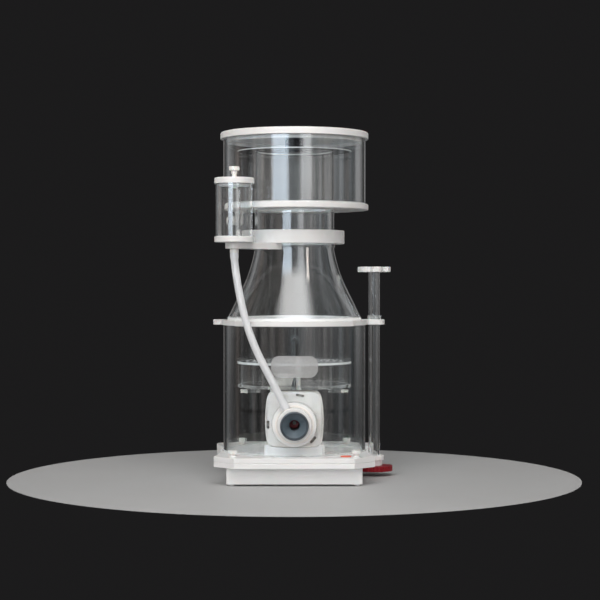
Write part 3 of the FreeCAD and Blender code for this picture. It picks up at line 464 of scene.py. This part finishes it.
def hose():
    """The silicone hose: it swells where it is pushed over the spigot above and the barb below."""
    outer = 6.25 * MM
    bore = 4.25 * MM
    swell = 0.9 * MM
    plug_length = 13.0 * MM
    line = hose_line(outer)
    lengths = [0.0]
    for start, end in zip(line, line[1:]):
        lengths.append(lengths[-1] + (end - start).length)
    outside, inside = [], []
    for index, place in enumerate(line):
        ahead = line[min(index + 1, len(line) - 1)] - line[max(index - 1, 0)]
        near_end = min(lengths[index], lengths[-1] - lengths[index])
        bulge = swell * max(0.0, 1 - (near_end / plug_length) ** 4)
        outside.append(circle_round(place, ahead, outer + bulge))
        inside.append(circle_round(place, ahead, bore))
    made = piece("silicone_hose", skin(outside + inside[::-1]), "reactor", "silicone_hose")
    rounded(made, 0.5 * MM)
    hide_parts("air_hose")


def foam_block():
    """The vent filter's foam: a slightly bowed block whose open cells pit its faces."""
    low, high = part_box("vent_filter")
    size, middle = high - low, (low + high) / 2
    cells_per_metre = 560.0
    strand_width = 0.30              # as a share of a cell
    pit_depth = 0.55 * MM
    edge_wear = 0.7 * MM
    shape = bmesh.new()
    bmesh.ops.create_cube(shape, size=1.0)
    bmesh.ops.subdivide_edges(shape, edges=shape.edges, cuts=55, use_grid_fill=True)
    for vertex in shape.verts:
        glued_on = vertex.co.z > 0.49
        near_edge = sorted(abs(value) * 2 for value in vertex.co)[1]
        place = Vector(middle[axis] + vertex.co[axis] * size[axis] for axis in range(3))
        if not glued_on:
            first, second = noise.voronoi(place * cells_per_metre)[0][:2]
            pit = min(second - first, strand_width) / strand_width
            inward = (middle - place).normalized()
            place += inward * (pit_depth * pit + edge_wear * near_edge ** 6)
        vertex.co = place
    made = piece("foam_block", shape, "lid", "foam_dark")
    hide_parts("vent_filter")


def bead(name, node, body, size=1.6 * MM):
    """The clear, hollow-faced bead of cement round the foot of a tube."""
    low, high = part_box(node)
    radius = (high.x - low.x) / 2
    hollow = ((0.0, 0.0), (1.0, 0.0), (0.55, 0.25), (0.25, 0.55), (0.0, 1.0))
    profile = [(radius + out * size, low.z + up * size) for out, up in hollow]
    piece(name, lathe(profile, axis_of(node)), body, "clear_acrylic", CEMENT)


def strain_relief():
    """The ribbed rubber boot where the cable enters its connector."""
    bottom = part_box("cable_connector")[1].z
    ribs = 5
    pitch = 3.2 * MM
    bore = 3.55 * MM
    widest = 6.4 * MM
    taper = 0.5 * MM                 # what each rib is smaller than the one below it
    groove = 1.2 * MM
    profile = [(bore, bottom)]
    for rib in range(ribs):
        foot = bottom + rib * pitch
        radius = widest - taper * rib
        profile += [(radius, foot), (radius, foot + 0.62 * pitch),
                    (radius - groove, foot + 0.7 * pitch), (radius - groove, foot + 0.95 * pitch)]
    profile.append((bore, bottom + ribs * pitch))
    boot = lathe(profile, axis_of("cable_connector"), steps=48)
    rounded(piece("strain_relief", boot, "reactor", "black_cable"), 0.25 * MM, segments=2)


hose()
foam_block()
strain_relief()
bead("body_tube_bead", "body_tube", "reactor")
bead("cup_wall_bead", "cup_wall", "cup")
bead("silencer_bead", "silencer_tube", "reactor", size=1.0 * MM)


# ---- studio ---------------------------------------------------------------------------

def floor():
    """A plain pale round floor."""
    bpy.ops.mesh.primitive_circle_add(vertices=128, radius=0.5, fill_type="NGON")
    disc = bpy.context.object
    disc.name = "floor"
    n = material("pale_floor")
    colour = n.blend(n.spread(n.noise(3.0, 5.0), 0.0, 1.0), grey(0.42), grey(0.45))
    disc.data.materials.append(n.finish(n.principled(Base_Color=colour, Roughness=0.6)))


def feather(data, softness):
    """Makes a lamp's face fade out towards its edges, over a share of its width."""
    n = Nodes(data, "UV")
    across, along, _ = n.parts(n.add("ShaderNodeNewGeometry").outputs["Parametric"])
    glow = 1.0
    for place in (across, along):
        inset = n.math("MINIMUM", place, n.math("SUBTRACT", 1.0, place))
        glow = n.math("MULTIPLY", glow, n.ramp(inset, 0.0, softness))
    shine = n.add("ShaderNodeEmission", {"Strength": glow}).outputs[0]
    n.tree.links.new(shine, n.add("ShaderNodeOutputLight").inputs["Surface"])


MIDDLE = Vector((0, 0, 0.32))        # what the lamps point at
WARM = (1.0, 0.975, 0.95)
LAMP_GAP = 0.02                      # two lamps at one place would hide each other


def softbox(name, azimuth, elevation, distance, size, lit, mirrored, tint=(1, 1, 1), softness=0.3):
    """A soft rectangular lamp. Its azimuth is in degrees to the right of the camera's side.
    One lamp lights surfaces, and one just in front of it is what they mirror, each with its own
    radiance. The tint is that of the mirrored one."""
    turn, rise = math.radians(azimuth), math.radians(elevation)
    way = Vector((math.sin(turn) * math.cos(rise), -math.cos(turn) * math.cos(rise), math.sin(rise)))
    for role, radiance, behind in (("lit", lit, LAMP_GAP), ("mirrored", mirrored, 0.0)):
        if not radiance:
            continue
        data = bpy.data.lights.new(name + "_" + role, "AREA")
        data.shape = "RECTANGLE"
        data.size, data.size_y = size
        data.energy = radiance * math.pi * size[0] * size[1]
        data.color = tint if role == "mirrored" else WARM
        feather(data, softness)
        lamp = bpy.data.objects.new(data.name, data)
        lamp.location = MIDDLE + way * (distance + behind)
        lamp.rotation_euler = (-way).to_track_quat("-Z", "Y").to_euler()
        lamp.visible_camera = False
        lamp.visible_transmission = False
        lamp.visible_diffuse = role == "lit"
        lamp.visible_glossy = role == "mirrored"
        bpy.context.scene.collection.objects.link(lamp)


def room():
    """A dark backdrop to look at, and a dim streaked room for surfaces to mirror."""
    world = bpy.data.worlds.new("studio_room")
    bpy.context.scene.world = world
    n = Nodes(world, "Generated")
    x, y, z = n.parts(n.place)
    azimuth = n.math("ARCTAN2", x, n.math("MULTIPLY", y, -1.0))
    streaks = n.noise(4.0, 3.0, n.joined(azimuth, n.math("MULTIPLY", z, 0.12)))
    front = n.ramp(n.math("ABSOLUTE", azimuth), 2.3, 1.2, 0.22, 1.0)
    above = n.math("MULTIPLY", n.ramp(z, 0.9, 0.2), n.ramp(z, -0.09, 0.07, 0.65, 1.5))
    streaked = n.ramp(streaks, 0.42, 0.62, 0.06, 0.85)
    level = n.math("MULTIPLY", streaked, n.math("MULTIPLY", front, above))
    off_the_streaks = 3.7            # another place in the noise, so that hue and light differ
    warmth = n.noise(2.3, 1.0, n.joined(azimuth, off_the_streaks))
    hue = n.blend(n.spread(warmth, 0.0, 1.0), (0.84, 0.93, 1.0, 1), (1.0, 0.87, 0.80, 1))
    path = n.add("ShaderNodeLightPath").outputs
    mirrored = n.math("MAXIMUM", path["Is Glossy Ray"], path["Is Diffuse Ray"])
    shown = n.add("ShaderNodeBackground", {0: (0.0115, 0.0112, 0.0116, 1), 1: 1.0}).outputs[0]
    dim = n.add("ShaderNodeBackground", {0: hue, 1: level}).outputs[0]
    mix = n.add("ShaderNodeMixShader", {0: mirrored, 1: shown, 2: dim}).outputs[0]
    n.tree.links.new(mix, n.add("ShaderNodeOutputWorld").inputs["Surface"])


def studio():
    room()
    softbox("key_above", 1, 52, 2.0, (2.5, 1.6), lit=4.6, mirrored=12.0, softness=0.35)
    softbox("strip_left", -22, 20, 2.4, (1.35, 2.0), lit=3.0, mirrored=12.5,
            tint=(0.74, 0.87, 1.0), softness=0.22)
    softbox("strip_right", 18, 20, 2.4, (1.0, 2.0), lit=1.8, mirrored=5.5, tint=(0.92, 0.96, 1.0))
    softbox("card_right", 38, 31, 2.2, (0.30, 1.2), lit=0.2, mirrored=16.0, tint=(1.0, 0.93, 0.86))
    softbox("fill_low", -6, 5, 2.6, (1.6, 0.9), lit=2.2, mirrored=0.0)
    softbox("rear_left", -122, 14, 2.2, (0.9, 2.0), lit=4.2, mirrored=0.35)
    softbox("rear_right", 122, 14, 2.2, (0.9, 2.0), lit=2.8, mirrored=0.6)


def camera():
    """The camera stands almost level with the middle of the object, nearly 3 m away."""
    data = bpy.data.cameras.new("camera")
    data.lens = 100.0                # in millimetres, like the width of the sensor
    data.sensor_width = 36.0
    place = Vector((0.0, -2.935, 0.3423))
    target = Vector((0.0099, 0.0, 0.3122))
    eye = bpy.data.objects.new("camera", data)
    eye.location = place
    eye.rotation_euler = (target - place).to_track_quat("-Z", "Y").to_euler()
    bpy.context.scene.collection.objects.link(eye)
    bpy.context.scene.camera = eye


floor()
studio()
camera()

# A ray passes several clear walls, and meets two faces at each.
scene = bpy.context.scene
scene.cycles.max_bounces = 40
scene.cycles.transmission_bounces = 40
scene.cycles.transparent_max_bounces = 48
scene.cycles.glossy_bounces = 8
scene.view_settings.view_transform = "Standard"
